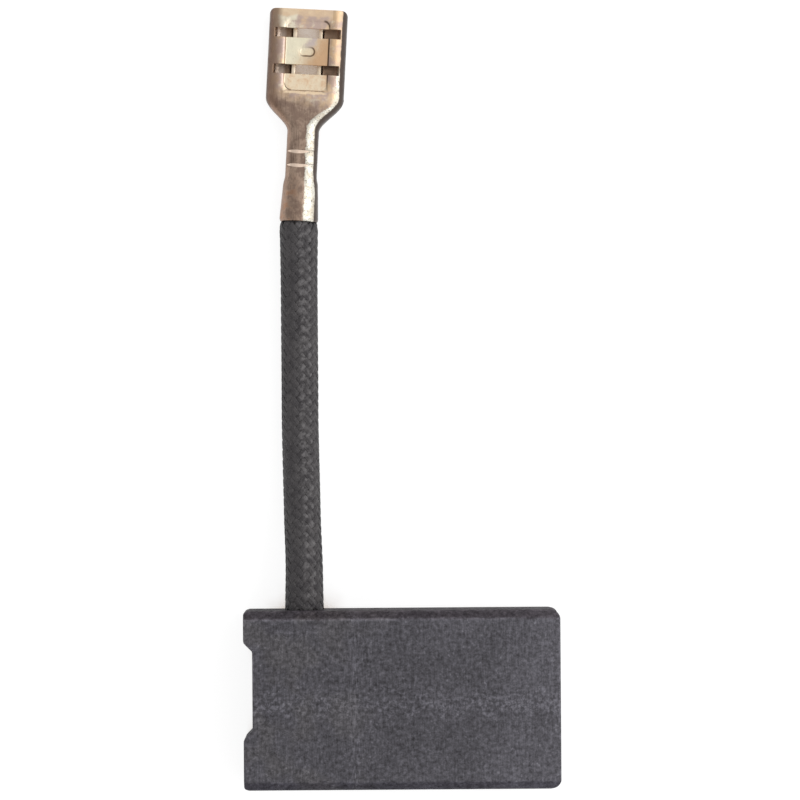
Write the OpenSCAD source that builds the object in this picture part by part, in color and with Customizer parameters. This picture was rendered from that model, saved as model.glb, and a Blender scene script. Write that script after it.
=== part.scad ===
// A carbon brush with a sleeved copper shunt and a receptacle for a 6.3 mm tab, in millimetres.
// The block lies on a large face. X runs along it to the wear face, Y towards the shunt, Z up,
// and the origin is in the middle of the face that it lies on.

/* [Carbon block] */
// Length, from the back end to the wear face
block_l = 31.8; // [26:0.1:40]
// Width, into which the shunt's hole is drilled
block_w = 18; // [16:0.1:24]
// Thickness, along which the commutator's surface passes
block_t = 8; // [6:0.1:12]
// Chamfer along the four long edges
edge_chamfer = 0.85; // [0.2:0.05:1.2]
// Radius of the commutator, ground into the wear face
commutator_r = 40; // [20:1:120]
// Rounding of the wear face's two upright edges
wear_edge_r = 0.9; // [0.2:0.05:1.5]
// Rounding of the back end's two upright edges
back_edge_r = 0.4; // [0.1:0.05:1]
// Depth of the notch that seats the spring, in the back end
notch_d = 0.9; // [0.4:0.1:2]
// Width of the notch's floor, between its 45 degree sides
notch_w = 7.9; // [4:0.1:9]
// How far the notch's middle is from the block's middle, towards the shunt
notch_y = 1; // [0:0.1:1.5]

/* [Shunt and sleeve] */
// Distance of the shunt from the block's middle, towards the back end
shunt_back = 9.8; // [6:0.1:11]
// Diameter of the hole that the shunt is tamped into
hole_d = 3.4; // [2.8:0.1:3.6]
// Depth of that hole's round wall
hole_l = 9.5; // [6:0.1:13]
// Diameter of the copper rope
rope_d = 2.4; // [1.6:0.1:2.4]
// Outer diameter of the braided sleeve, which is looser at its two ends
sleeve_d = 3.75; // [3.7:0.05:3.8]
// Bore of the braided sleeve
sleeve_bore = 2.7; // [2.6:0.1:3]

/* [Receptacle] */
// Thickness of the brass sheet
sheet = 0.4; // [0.3:0.05:0.45]
// Length of the whole terminal
term_l = 21.4; // [20.5:0.1:23]
// Length of the part that holds the tab
body_l = 9; // [8.8:0.1:9.4]
// Width across the rolled sides
body_w = 7.9; // [7.6:0.1:8.4]
// Outer diameter of the rolled sides, and so the receptacle's height
roll_d = 2.6; // [2.4:0.1:2.8]
// Gap between the tips of the two flags
flag_gap = 2.2; // [1.6:0.1:2.6]
// Height left for the tab, which springs open to 0.8
tab_gap = 0.7; // [0.5:0.05:0.8]
// Width of the panel pressed into the back
panel_w = 4.6; // [4:0.1:5]
// Depth of that panel
panel_d = 0.2; // [0.1:0.05:0.25]
// Width of the two cross slots that free the strap between them
slot_w = 6.7; // [6:0.1:6.9]
// Length of the oval dimple that clicks into the tab's hole
dimple_l = 1.5; // [1:0.1:2]
// Width of the dimple
dimple_w = 0.85; // [0.6:0.05:1.2]

/* [Crimps] */
// Half the width of the wire crimp
wire_r = 1.6; // [1.6:0.05:1.7]
// Height of the wire crimp
wire_h = 2.3; // [2.2:0.05:2.5]
// Radius of the sleeve crimp at the terminal's end
grip_r = 1.97; // [1.9:0.01:2.05]
// Radius of the sleeve crimp at its inner end
grip_neck_r = 1.83; // [1.78:0.01:1.88]
// Open seam of the sleeve crimp
seam = 0.2; // [0.1:0.05:0.4]

/* [Hidden] */
$fn = 64;
eps = 0.05;
graphite = [0.31, 0.31, 0.33];
copper = [0.72, 0.42, 0.27];
black_braid = [0.20, 0.20, 0.20];
tinned_brass = [0.78, 0.69, 0.58];

shunt_x = -shunt_back;
shunt_z = block_t / 2;
face_y = block_w / 2;

// Places along the terminal, from its sleeve end (0) to its mouth (term_l)
grip_l = 3.4;
wire_from = 4.6;
wire_to = 8.2;
neck_from = wire_to - 0.1;
rope_end = 9;
body_from = term_l - body_l;
shoulder_l = 3.3;
shoulder_from = body_from - shoulder_l;
panel_from = term_l - 8.4;
panel_to = term_l - 1.1;
panel_corner_r = 0.7;
dimple_y = term_l - 4.3;
slots_from = [term_l - 2.9, term_l - 6.6];
slot_l = 0.95;
slot_depth = 0.82;
serrations_y = [term_l - 14.3, term_l - 15.7];
serration_r = 0.2;
serration_depth = 0.14;

// How far the neck's and shoulder's sheet is set in from the faces of the parts at its two ends
set_in = 0.03;
// Depth of the channel's walls at the neck, where the shoulder meets the body, and in the body
neck_depth = 1.85;
shoulder_depth = 1.55;
body_depth = 1.4;
// Depth under the flat back at which the wire crimp's two legs start to curl in
legs_z = 0.52 * wire_h;
// How far below the shunt's axis the throat between the two crimps is cut open
throat_z = 0.37;
// Radius of the rope where the sleeve crimp squeezes it
rope_grip_r = 1;
// How much wider the sleeve's radius gets towards its two ends, over what length
sleeve_swell = 0.1;
swell_l = 8;
// Rounding of the strip's corners at the mouth, and of the sleeve crimp's rim
mouth_corner_r = 0.5;
grip_rim = 0.2;
// Bend of the flags' tips
tip_bend_r = 0.3;

// The shunt's axis runs this far below the terminal's flat back, through the sleeve crimp
axis_drop = 1.5;
// The sleeve crimp and the mouth both touch the surface, which tips the terminal nose down
term_pitch = atan((axis_drop + grip_r - roll_d) / term_l);
term_lean = 3.2;
term_pos = [-10.15, face_y + 39.25, grip_r * cos(term_pitch) + 0.02];
term_dir = [sin(term_lean) * cos(term_pitch), cos(term_lean) * cos(term_pitch), -sin(term_pitch)];

// Route of the shunt's axis, from the block's face down to the surface and into the terminal:
// across from the hole's axis, out from the face, and height
route = [[0, 0, 4], [0, 2, 3.95], [0, 4, 3.75], [-0.05, 6, 3.4], [-0.15, 8.5, 2.9],
         [-0.2, 11, 2.45], [-0.25, 13.5, 2.15], [-0.3, 16, 2], [-0.35, 19, 1.95],
         [-0.35, 22, 1.92], [-0.35, 25, 1.92], [-0.35, 28, 1.92], [-0.35, 31, 1.95],
         [-0.35, 33.5, 2], [-0.35, 35.5, 2.04], [-0.35, 37.5, 2.05]];
axis_points = concat([for (p = route) [shunt_x + p.x, face_y + p.y, p.z + shunt_z - 4]], [term_pos]);

// ---- Carbon block ----

// What a rounding of radius r leaves outside a corner at the origin
module corner_waste(r) {
    difference() {
        translate([-r, -r]) square(2 * r);
        translate([-r, -r]) circle(r);
    }
}

// Seen from above: rounded upright edges, and the spring's notch in the back end
module block_plan() {
    back = -block_l / 2;
    difference() {
        square([block_l, block_w], center = true);
        for (end = [0, 1], side = [0, 1])
            mirror([end, 0]) mirror([0, side]) translate([block_l / 2, block_w / 2])
                corner_waste(end == 0 ? wear_edge_r : back_edge_r);
        polygon([[back - 1, notch_y - notch_w / 2 - notch_d - 1],
                 [back + notch_d, notch_y - notch_w / 2],
                 [back + notch_d, notch_y + notch_w / 2],
                 [back - 1, notch_y + notch_w / 2 + notch_d + 1]]);
    }
}

// Seen from the end: a rectangle with its four long edges chamfered
module block_section() {
    difference() {
        translate([-block_w / 2, 0]) square([block_w, block_t]);
        for (side = [-1, 1], z = [0, block_t])
            translate([side * block_w / 2, z]) rotate(45)
                square(edge_chamfer * sqrt(2), center = true);
    }
}

// The drilled hole, with the drill's point at its end
module shunt_hole() {
    translate([shunt_x, face_y, shunt_z]) rotate([90, 0, 0]) {
        translate([0, 0, -1]) cylinder(d = hole_d, h = hole_l + 1);
        translate([0, 0, hole_l]) cylinder(d1 = hole_d, d2 = 0, h = hole_d / 2 / tan(59));
    }
}

// Pressed carbon, with the commutator's curve ground across the wear face
module carbon_block() {
    color(graphite) difference() {
        intersection() {
            linear_extrude(block_t) block_plan();
            rotate([90, 0, 90]) linear_extrude(block_l, center = true) block_section();
        }
        translate([block_l / 2 + sqrt(pow(commutator_r, 2) - pow(block_t / 2, 2)), 0, block_t / 2])
            rotate([90, 0, 0]) cylinder(r = commutator_r, h = block_w + 2, center = true, $fn = 180);
        shunt_hole();
    }
}

// The rope's end inside the block
module rope_root() {
    translate([shunt_x, face_y, shunt_z]) rotate([90, 0, 0]) cylinder(d = rope_d, h = hole_l);
}

// Copper powder tamped hard round the rope, which holds it in the hole
module tamping_plug() {
    color(copper) difference() {
        intersection() {
            shunt_hole();
            translate([shunt_x, 0, shunt_z]) cube([2 * hole_d, block_w, 2 * hole_d], center = true);
        }
        rope_root();
        translate([0, 1, 0]) rope_root();
    }
}

// ---- Shunt ----

function unit(v) = v / norm(v);

// Direction of the axis at point i: square to the block at one end, the terminal's at the other
function axis_dir(i) =
    i == 0 ? [0, 1, 0] :
    i == len(axis_points) - 1 ? term_dir :
    unit(axis_points[i + 1] - axis_points[i - 1]);

// Ring of eight points, radius r, round the point p and square to dir
function ring(p, dir, r) =
    let (side = unit(cross(dir, [0, 0, 1])), up = cross(side, dir))
    [for (k = [0:7]) p + r * (cos(45 * k) * side + sin(45 * k) * up)];

// Share of the swelling at a distance y out from the block's face
function swell(y) = pow(max(0, 1 - y / swell_l), 2) +
                    pow(max(0, 1 - (term_pos.y - face_y - y) / swell_l), 2);

// Stations of a tube: [point, direction, outer radius, bore radius]. First the free stretch, then
// the part that the terminal grips, at the given distances from its sleeve end
function free_stations(r_out, r_in, extra = 0) =
    [for (i = [0:len(axis_points) - 2]) let (more = extra * swell(axis_points[i].y - face_y))
        [axis_points[i], axis_dir(i), r_out + more, r_in == 0 ? 0 : r_in + more]];
function gripped_stations(rows) =
    [for (row = rows) [term_pos + row[0] * term_dir, term_dir, row[1], row[2]]];

// A tube through its stations, solid where it has no bore
module swept_tube(stations) {
    n = len(stations);
    hollow = stations[0][3] > 0;
    points = concat([for (s = stations) each ring(s[0], s[1], s[2])],
                    hollow ? [for (s = stations) each ring(s[0], s[1], s[3])] : []);
    skin = function (first, inner) [for (i = [0:n - 2], k = [0:7])
        let (a = first + i * 8 + k, b = first + i * 8 + (k + 1) % 8)
        each inner ? [[a, b + 8, b], [a, a + 8, b + 8]] : [[a, b, b + 8], [a, b + 8, a + 8]]];
    rim = function (i, far) [for (k = [0:7])
        let (a = i * 8 + k, b = i * 8 + (k + 1) % 8, c = a + 8 * n, d = b + 8 * n)
        each far ? [[a, b, d], [a, d, c]] : [[a, d, b], [a, c, d]]];
    disc = function (i, far) [for (k = [1:6]) let (a = i * 8)
        far ? [a, a + k, a + k + 1] : [a, a + k + 1, a + k]];
    polyhedron(points, hollow
        ? concat(skin(0, false), skin(8 * n, true), rim(0, false), rim(n - 1, true))
        : concat(skin(0, false), disc(0, false), disc(n - 1, true)), convexity = 4);
}

// Puts a child drawn in the terminal's own frame in its place. In that frame X is across,
// Y runs from the sleeve end to the mouth, and Z is 0 on the flat back
module at_terminal() {
    translate(term_pos) rotate([0, 0, -term_lean]) rotate([-term_pitch, 0, 0])
        translate([0, 0, axis_drop]) children();
}

// The rope where the wire crimp has pressed it, from y0 to y1
module pressed_rope(y0, y1, clear = 0) {
    translate([0, y1, 0]) rotate([90, 0, 0]) linear_extrude(y1 - y0) wire_space(clear);
}

// Stranded copper rope, from the bottom of the hole to its end beyond the wire crimp
module shunt_cable() {
    r = rope_d / 2;
    color(copper) {
        rope_root();
        swept_tube(concat(free_stations(r, 0),
                          gripped_stations([[-0.4, r, 0], [0, rope_grip_r, 0], [wire_from, rope_grip_r, 0]])));
        at_terminal() {
            pressed_rope(wire_from, neck_from);
            pressed_rope(neck_from - eps, rope_end, 2 * set_in);
            intersection() {
                pressed_rope(wire_from - 0.2, wire_from + 0.2);
                axis_bar(rope_grip_r - eps, rope_grip_r - eps, wire_from - 1, wire_from + 1);
            }
        }
    }
}

// Black braided sleeve over the rope, its end squeezed in the terminal's sleeve crimp
module braided_sleeve() {
    r = sleeve_d / 2 + sleeve_swell;
    bore = rope_grip_r + 0.05;
    color(black_braid) swept_tube(concat(free_stations(sleeve_d / 2, sleeve_bore / 2, sleeve_swell),
        gripped_stations([[-0.4, r, sleeve_bore / 2 + sleeve_swell], [0, grip_r - sheet - 0.01, bore],
                          [grip_l, grip_neck_r - sheet - 0.01, bore],
                          [grip_l + 0.5, grip_neck_r - sheet - 0.2, bore]])));
}

// ---- Terminal ----

// Rectangle with rounded corners, from its lower left corner
module rounded_rect(w, l, r) {
    translate([r, 0]) square([w - 2 * r, l]);
    translate([0, r]) square([w, l - 2 * r]);
    for (x = [r, w - r], y = [r, l - r])
        translate([x, y]) circle(r);
}

// The dimple seen from the back: an oval with round ends
module dimple_plan() {
    straight = dimple_l - dimple_w;
    square([straight, dimple_w], center = true);
    for (side = [-1, 1]) translate([side * straight / 2, 0]) circle(d = dimple_w);
}

// Half of the receptacle's section: half the back, the rolled side, and the flag, whose tip
// turns back up to press the tab against the panel
module rolled_half() {
    r = roll_d / 2;
    roll_x = body_w / 2 - r;
    tip_x = flag_gap / 2;
    bend_x = tip_x + sheet + tip_bend_r;
    bend_y = -roll_d + sheet + tip_bend_r;
    tip_y = -sheet - panel_d - tab_gap;
    translate([-eps, -sheet]) square([roll_x + eps, sheet]);
    translate([roll_x, -r]) intersection() {
        difference() {
            circle(r);
            circle(r - sheet);
        }
        translate([0, -r]) square([r, 2 * r]);
    }
    translate([bend_x, -roll_d]) square([roll_x - bend_x, sheet]);
    translate([bend_x, bend_y]) intersection() {
        difference() {
            circle(tip_bend_r + sheet);
            circle(tip_bend_r);
        }
        translate([-tip_bend_r - sheet, -tip_bend_r - sheet]) square(tip_bend_r + sheet);
    }
    translate([tip_x, bend_y]) square([sheet, tip_y - bend_y]);
}

// A channel bent from the sheet, seen along it: half its outside, down to the given depth
module channel_half(depth, bend_r) {
    translate([-eps, -bend_r]) square([wire_r - bend_r + eps, bend_r]);
    translate([wire_r - bend_r, -bend_r]) intersection() {
        circle(bend_r);
        square(bend_r);
    }
    translate([-eps, -depth]) square([wire_r + eps, depth - bend_r]);
}

// Space that the wire crimp leaves for the rope, pinched by the two curled legs, less a clearance
module wire_space(clear = 0) {
    lobe = wire_r / 2;
    inner_r = roll_d / 2 - sheet - clear;
    for (side = [0, 1]) mirror([side, 0]) {
        intersection() {
            union() {
                translate([wire_r - roll_d / 2, -roll_d / 2]) circle(inner_r);
                translate([-eps, -roll_d / 2]) square([wire_r - roll_d / 2 + eps, inner_r]);
            }
            translate([-eps, -legs_z]) square([wire_r, wire_h]);
        }
        translate([lobe, lobe - wire_h]) circle(lobe - sheet - clear);
    }
}

// Section of the wire crimp: a rounded back over two legs that curl in to meet at the seam
module wire_crimp_section() {
    lobe = wire_r / 2;
    difference() {
        for (side = [0, 1]) mirror([side, 0]) {
            channel_half(wire_h - lobe, roll_d / 2);
            translate([lobe, lobe - wire_h]) circle(lobe);
        }
        wire_space();
    }
}

// Outline of the sheet's cut edge where it is bent to a channel: half its width b, the radius r
// of its two bends, how far its walls reach down, and the height of its back
function channel(b, r, depth, top) = let (steps = 8)
    concat([[-b, top - depth]],
           [for (k = [0:steps]) let (a = 180 - 90 * k / steps)
               [r - b + r * cos(a), top - r + r * sin(a)]],
           [for (k = [0:steps]) let (a = 90 - 90 * k / steps)
               [b - r + r * cos(a), top - r + r * sin(a)]],
           [[b, top - depth], [b - sheet, top - depth]],
           [for (k = [0:steps]) let (a = 90 * k / steps, q = r - sheet)
               [b - r + q * cos(a), top - r + q * sin(a)]],
           [for (k = [0:steps]) let (a = 90 + 90 * k / steps, q = r - sheet)
               [r - b + q * cos(a), top - r + q * sin(a)]],
           [[sheet - b, top - depth]]);

// The sheet bent to a channel that changes from one station to the next: [y, b, r, depth, top]
module bent_channel(stations) {
    rings = [for (s = stations) [for (p = channel(s[1], s[2], s[3], s[4])) [p.x, s[0], p.y]]];
    n = len(rings[0]);
    last = (len(rings) - 1) * n;
    sides = [for (i = [0:len(rings) - 2], k = [0:n - 1])
        let (a = i * n + k, b = i * n + (k + 1) % n) each [[a, b + n, b], [a, a + n, b + n]]];
    cap = function (first, far) [for (k = [0:n / 2 - 2])
        let (a = first + k, b = a + 1, c = first + n - 2 - k, d = c + 1)
        each far ? [[a, c, b], [a, d, c]] : [[a, b, c], [a, c, d]]];
    polyhedron([for (r = rings) each r], concat(sides, cap(0, false), cap(last, true)), convexity = 6);
}

function ease(s) = s * s * (3 - 2 * s);

// From the neck, which runs into the wire crimp, out along the two slanted shoulders to the
// rolled body
function shoulder_station(y, half_w, depth) =
    [y, half_w - set_in, roll_d / 2 - set_in, depth, -set_in];
shoulder = concat(
    [shoulder_station(neck_from, wire_r, neck_depth)],
    [for (k = [0:12]) let (s = k / 12)
        shoulder_station(shoulder_from + s * shoulder_l,
                         wire_r + (body_w / 2 - wire_r) * ease(s),
                         neck_depth + (shoulder_depth - neck_depth) * s)],
    [shoulder_station(body_from + 0.1, body_w / 2, body_depth)]);

// A round bar along the shunt's axis in the terminal, from y0 to y1
module axis_bar(r0, r1, y0, y1) {
    translate([0, y0, -axis_drop]) rotate([-90, 0, 0]) cylinder(r1 = r0, r2 = r1, h = y1 - y0);
}

// The sleeve crimp: a ring that tapers towards the wire, open along its seam underneath, and
// the half-open throat between it and the wire crimp
module sleeve_crimp() {
    difference() {
        union() {
            axis_bar(grip_r - grip_rim, grip_r, 0, grip_rim);
            axis_bar(grip_r, grip_neck_r, grip_rim, grip_l);
            axis_bar(grip_neck_r, axis_drop, grip_l, wire_from);
        }
        axis_bar(grip_r - sheet, grip_neck_r - sheet, 0, grip_l);
        axis_bar(grip_neck_r - sheet, axis_drop - sheet, grip_l, wire_from);
        translate([-seam / 2, -1, -axis_drop - grip_r - 1]) cube([seam, grip_l + 2, grip_r + 1]);
        translate([-grip_r, grip_l, -axis_drop - throat_z - grip_r])
            cube([2 * grip_r, wire_from - grip_l + 1, grip_r]);
    }
}

// The receptacle's body before its back is worked: rolled sides, panel and dimple
module rolled_body() {
    translate([0, term_l, 0]) rotate([90, 0, 0]) linear_extrude(body_l)
        for (side = [0, 1]) mirror([side, 0]) rolled_half();
    translate([-panel_w / 2, panel_from, -sheet - panel_d]) linear_extrude(panel_d + eps)
        rounded_rect(panel_w, panel_to - panel_from, panel_corner_r);
    translate([0, dimple_y, -sheet - 2 * panel_d]) linear_extrude(panel_d + eps) dimple_plan();
}

// One strip of tinned brass, stamped and folded: receptacle, shoulder, neck and two crimps
module terminal() {
    color(tinned_brass) at_terminal() {
        difference() {
            rolled_body();
            translate([-panel_w / 2, panel_from, -panel_d]) linear_extrude(1)
                rounded_rect(panel_w, panel_to - panel_from, panel_corner_r);
            translate([0, dimple_y, -2 * panel_d]) linear_extrude(1) dimple_plan();
            for (y = slots_from)
                translate([-slot_w / 2, y, -slot_depth]) cube([slot_w, slot_l, 1]);
            for (side = [0, 1])
                mirror([side, 0, 0]) translate([body_w / 2, term_l, -roll_d - 1])
                    linear_extrude(roll_d + 2) corner_waste(mouth_corner_r);
        }
        bent_channel(shoulder);
        difference() {
            translate([0, wire_to, 0]) rotate([90, 0, 0])
                linear_extrude(wire_to - wire_from) wire_crimp_section();
            for (y = serrations_y)
                translate([0, y, serration_r - serration_depth]) rotate([0, 90, 0])
                    cylinder(r = serration_r, h = 3 * wire_r, center = true);
        }
        sleeve_crimp();
    }
}

carbon_block();
tamping_plug();
shunt_cable();
braided_sleeve();
terminal();
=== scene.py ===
"""A carbon motor brush: pressed carbon block, sleeved copper shunt, and a crimped tab receptacle."""

import math
from functools import reduce

import bmesh
import bpy
import numpy as np
from mathutils import Matrix, Vector


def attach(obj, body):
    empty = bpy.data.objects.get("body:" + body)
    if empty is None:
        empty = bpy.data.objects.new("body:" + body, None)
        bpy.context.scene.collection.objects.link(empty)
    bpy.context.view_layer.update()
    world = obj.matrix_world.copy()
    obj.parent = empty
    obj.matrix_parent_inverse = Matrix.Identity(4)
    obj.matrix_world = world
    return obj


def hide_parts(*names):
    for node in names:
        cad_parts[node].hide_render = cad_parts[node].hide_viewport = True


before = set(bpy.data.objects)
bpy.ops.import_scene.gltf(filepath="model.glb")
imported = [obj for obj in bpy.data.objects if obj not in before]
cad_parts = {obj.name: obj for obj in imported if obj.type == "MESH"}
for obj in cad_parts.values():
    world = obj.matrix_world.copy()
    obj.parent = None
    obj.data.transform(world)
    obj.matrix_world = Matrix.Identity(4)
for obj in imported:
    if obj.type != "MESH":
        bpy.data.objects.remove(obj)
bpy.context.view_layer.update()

# ---- Camera ----
# Straight above the brush, which lies flat. Eight centimetres of it fill the square picture
# at the height of the block's upper face.
camera_h, upper_face_h, seen_w, sensor_w = 0.480, 0.008, 0.080, 36
lens_view = bpy.data.cameras.new("top_view")
lens_view.sensor_width = sensor_w
lens_view.lens = sensor_w * (camera_h - upper_face_h) / seen_w
lens_view.clip_start, lens_view.clip_end = 0.01, 10
top_view = bpy.data.objects.new("top_view", lens_view)
top_view.location = (-0.00002, 0.03006, camera_h)
top_view.rotation_euler = (0, 0, math.radians(-0.4))
bpy.context.scene.collection.objects.link(top_view)
bpy.context.scene.camera = top_view


# ---- Shunt route ----
# The copper rope and its sleeve leave the block square to its side face, come down to the
# surface, lie along it, and go into the terminal. The points are millimetres from the middle
# of the block's lower face.
shunt_x, face_y, shunt_z = -9.8, 9.0, 4.0
route_offsets = [(0, 0, 4), (0, 2, 3.95), (0, 4, 3.75), (-0.05, 6, 3.4), (-0.15, 8.5, 2.9),
                 (-0.2, 11, 2.45), (-0.25, 13.5, 2.15), (-0.3, 16, 2), (-0.35, 19, 1.95),
                 (-0.35, 22, 1.92), (-0.35, 25, 1.92), (-0.35, 28, 1.92), (-0.35, 31, 1.95),
                 (-0.35, 33.5, 2), (-0.35, 35.5, 2.04), (-0.35, 37.5, 2.05)]
route = [Vector((shunt_x + x, face_y + y, z)) for x, y, z in route_offsets]

# The terminal's own frame: across, along it from the sleeve end, and up from its flat back
axis_drop, grip_r, roll_d, term_l = 1.5, 1.97, 2.6, 21.4
term_pitch = math.atan((axis_drop + grip_r - roll_d) / term_l)
term_lean = math.radians(3.2)
term_pos = Vector((-10.15, face_y + 39.25, grip_r * math.cos(term_pitch) + 0.02))
term_turn = (Matrix.Rotation(-term_lean, 3, "Z") @ Matrix.Rotation(-term_pitch, 3, "X"))
term_dir = term_turn @ Vector((0, 1, 0))


def smooth_route(points, per_span):
    """Points of a Catmull-Rom curve through the given points."""
    ends = [2 * points[0] - points[1]] + points + [2 * points[-1] - points[-2]]
    out = []
    for i in range(1, len(ends) - 2):
        a, b, c, d = ends[i - 1:i + 3]
        for k in range(per_span):
            t = k / per_span
            out.append(0.5 * (2 * b + (c - a) * t + (2 * a - 5 * b + 4 * c - d) * t * t
                              + (3 * b - a - 3 * c + d) * t ** 3))
    return out + [ends[-2]]


# Millimetres past the terminal's end: close steps at the mouth of its crimp, where it grips the sleeve
crimp_steps = (-0.38, -0.3, -0.2, -0.1, 0, 0.1, 0.25, 0.5, 1, 1.7, 2.4, 3.1, 3.9)
sleeve_route = smooth_route(route + [term_pos - 0.5 * term_dir], 4)
sleeve_route += [term_pos + d * term_dir for d in crimp_steps]


# ---- Carbon block ----
# Pressed and baked carbon graphite, ground to size, with a notch for the spring's finger at
# its back end and the commutator's curve worn into its front end. Its long edges are
# chamfered, and handling has rubbed them light and chipped them.
block_l, block_w, block_t = 31.8, 18.0, 8.0
edge_chamfer = 0.85
commutator_r = 40.0
front_edge_r, back_edge_r = 0.9, 0.4
notch_d, notch_w, notch_y = 0.9, 7.9, 1.0
hole_r, hole_l = 1.7, 9.5
half_block = np.array([block_l, block_w, block_t]) / 2
middle_of_block = np.array([0, 0, block_t / 2])
# Where the first vertices in from an edge lie: close together over the chamfer and its two corners
rim_steps = np.array([0, 0.03, 0.08, 0.15, 0.25, 0.38, 0.52, 0.66, 0.77, 0.82, 0.85, 0.88, 0.94, 1.05, 1.2])
mesh_step = 0.2
# Wear reaches this far in. It rounds the edges by rub_d, which fades over rub_reach
wear_reach, rub_d, rub_reach = 1.3, 0.07, 0.13
chips, chip_inset, smallest_chip, chip_spread = 240, 0.9, 0.09, 0.26


def graded(length):
    """Places from 0 to 1 along a length, closer together towards both ends."""
    plain = length - 2 * rim_steps[-1]
    middle = np.linspace(rim_steps[-1], length - rim_steps[-1], int(round(plain / mesh_step)) + 1)
    return np.concatenate([rim_steps[:-1], middle, (length - rim_steps[:-1])[::-1]]) / length


def end_faces(y, z):
    """Where the back and front ends of the block are at these places across it."""
    def corner(radius):
        """How far back an end's rounded corner of this radius lies."""
        past = np.clip(np.abs(y) - (block_w / 2 - radius), 0, radius)
        return radius - np.sqrt(radius ** 2 - past ** 2)

    notch = np.clip(notch_d - np.maximum(0, np.abs(y - notch_y) - notch_w / 2), 0, notch_d)
    reach = math.sqrt(commutator_r ** 2 - (block_t / 2) ** 2)
    sag = np.sqrt(commutator_r ** 2 - np.clip(z - block_t / 2, -block_t / 2, block_t / 2) ** 2) - reach
    return -block_l / 2 + notch + corner(back_edge_r), block_l / 2 - sag - corner(front_edge_r)


def block_lattice():
    """The block's skin as a lattice of vertices (in mm) and quads."""
    s, v, t = graded(block_l), graded(block_w), graded(block_t)
    nx, ny, nz = len(s) - 1, len(v) - 1, len(t) - 1
    i, j, k = np.meshgrid(np.arange(nx + 1), np.arange(ny + 1), np.arange(nz + 1), indexing="ij")
    skin = (i == 0) | (i == nx) | (j == 0) | (j == ny) | (k == 0) | (k == nz)
    number = -np.ones(skin.shape, int)
    number[skin] = np.arange(skin.sum())
    y = (v[j[skin]] - 0.5) * block_w
    chamfer = np.maximum(0, np.abs(y) - (block_w / 2 - edge_chamfer))
    z = chamfer + t[k[skin]] * (block_t - 2 * chamfer)
    back, front = end_faces(y, z)
    x = back + s[i[skin]] * (front - back)
    quads = []
    for (a, b), fixed, top in (((1, 2), 0, nx), ((2, 0), 1, ny), ((0, 1), 2, nz)):
        for end in (0, top):
            sheet = np.take(number, end, axis=fixed)
            if a > b:
                sheet = sheet.T
            corners = [sheet[:-1, :-1], sheet[1:, :-1], sheet[1:, 1:], sheet[:-1, 1:]]
            side = np.stack(corners, -1).reshape(-1, 4)
            quads.append(side[:, ::-1] if end == 0 else side)
    return np.stack([x, y, z], 1), np.concatenate(quads)


def edge_distance(points):
    """How far each point of the skin is from the block's nearest outer edge."""
    x, y, z = points.T
    up, out = np.abs(z - block_t / 2), np.abs(y)
    flat_edge, side_edge = block_w / 2 - edge_chamfer, block_t / 2 - edge_chamfer
    long_edges = np.minimum(np.hypot(out - flat_edge, up - block_t / 2),
                            np.hypot(out - block_w / 2, up - side_edge))
    depth = np.minimum(np.minimum(block_w / 2 - out, block_t / 2 - up),
                       (block_w / 2 + side_edge - out - up) / math.sqrt(2))
    back, front = end_faces(np.clip(y, 0.01 - block_w / 2, block_w / 2 - 0.01), z)
    rims = np.minimum(np.hypot(x - back, depth), np.hypot(front - x, depth))
    notch_edges = np.hypot(np.abs(y - notch_y) - notch_w / 2 - notch_d, x + block_l / 2)
    return np.minimum(np.minimum(long_edges, rims), notch_edges)


def to_core(points):
    """The nearest points of the sound core that wear never reaches."""
    core = half_block - wear_reach
    return np.clip(points, middle_of_block - core, middle_of_block + core)


def wear_block(points, seed=7):
    """Rubs the edges round and takes chips out of them, always inwards."""
    rng = np.random.default_rng(seed)
    near = edge_distance(points)
    inward = to_core(points) - points
    inward /= np.maximum(np.linalg.norm(inward, axis=1), 1e-9)[:, None]
    x, y, z = points[:, [0]], points[:, [1]], points[:, [2]]
    uneven = 0.75 + 0.25 * np.sin(x * 2.1 + 1.3 * np.sin(y * 1.7)) * np.sin(z * 3.1 + 1)
    points = points + inward * (rub_d * np.exp(-(near / rub_reach) ** 2))[:, None] * uneven
    flat_edge = [half_block[1] - chip_inset, half_block[2]]
    side_edge = [half_block[1], half_block[2] - chip_inset]
    for _ in range(chips):
        axis = int(rng.choice(3, p=[0.62, 0.33, 0.05]))
        spot = (rng.random(3) - 0.5) * 2 * half_block
        side = np.where(rng.random(3) < 0.5, -1, 1)
        if axis == 0:
            spot[1:] = side[1:] * (flat_edge if rng.random() < 0.6 else side_edge)
        elif axis == 1:
            spot[0], spot[2] = side[0] * half_block[0], side[2] * half_block[2]
            spot[1] *= 0.9
        else:
            spot[0], spot[1] = side[0] * (half_block[0] - 0.15), side[1] * (half_block[1] - 0.15)
            spot[2] *= 0.75
        spot[2] += block_t / 2
        if axis == 1:
            back, front = end_faces(spot[[1]], spot[[2]])
            spot[0] = front[0] if side[0] > 0 else back[0]
        size = smallest_chip + chip_spread * rng.random() ** 4
        out = spot - to_core(spot)
        away = points - (spot + out / np.linalg.norm(out) * size * (0.45 + 0.3 * rng.random()))
        gap = np.linalg.norm(away, axis=1)
        inside = gap < size
        points[inside] += away[inside] * (size / gap[inside] - 1)[:, None]
    return np.clip(points, middle_of_block - half_block, middle_of_block + half_block)


def mesh_object(name, points, faces, material):
    """A smooth-shaded object whose mesh is these points, given in mm, and faces."""
    mesh = bpy.data.meshes.new(name)
    mesh.from_pydata((np.asarray(points) / 1000).tolist(), [], [list(map(int, f)) for f in faces])
    mesh.materials.append(material)
    mesh.polygons.foreach_set("use_smooth", [True] * len(mesh.polygons))
    mesh.update()
    thing = bpy.data.objects.new(name, mesh)
    bpy.context.scene.collection.objects.link(thing)
    return thing


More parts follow.
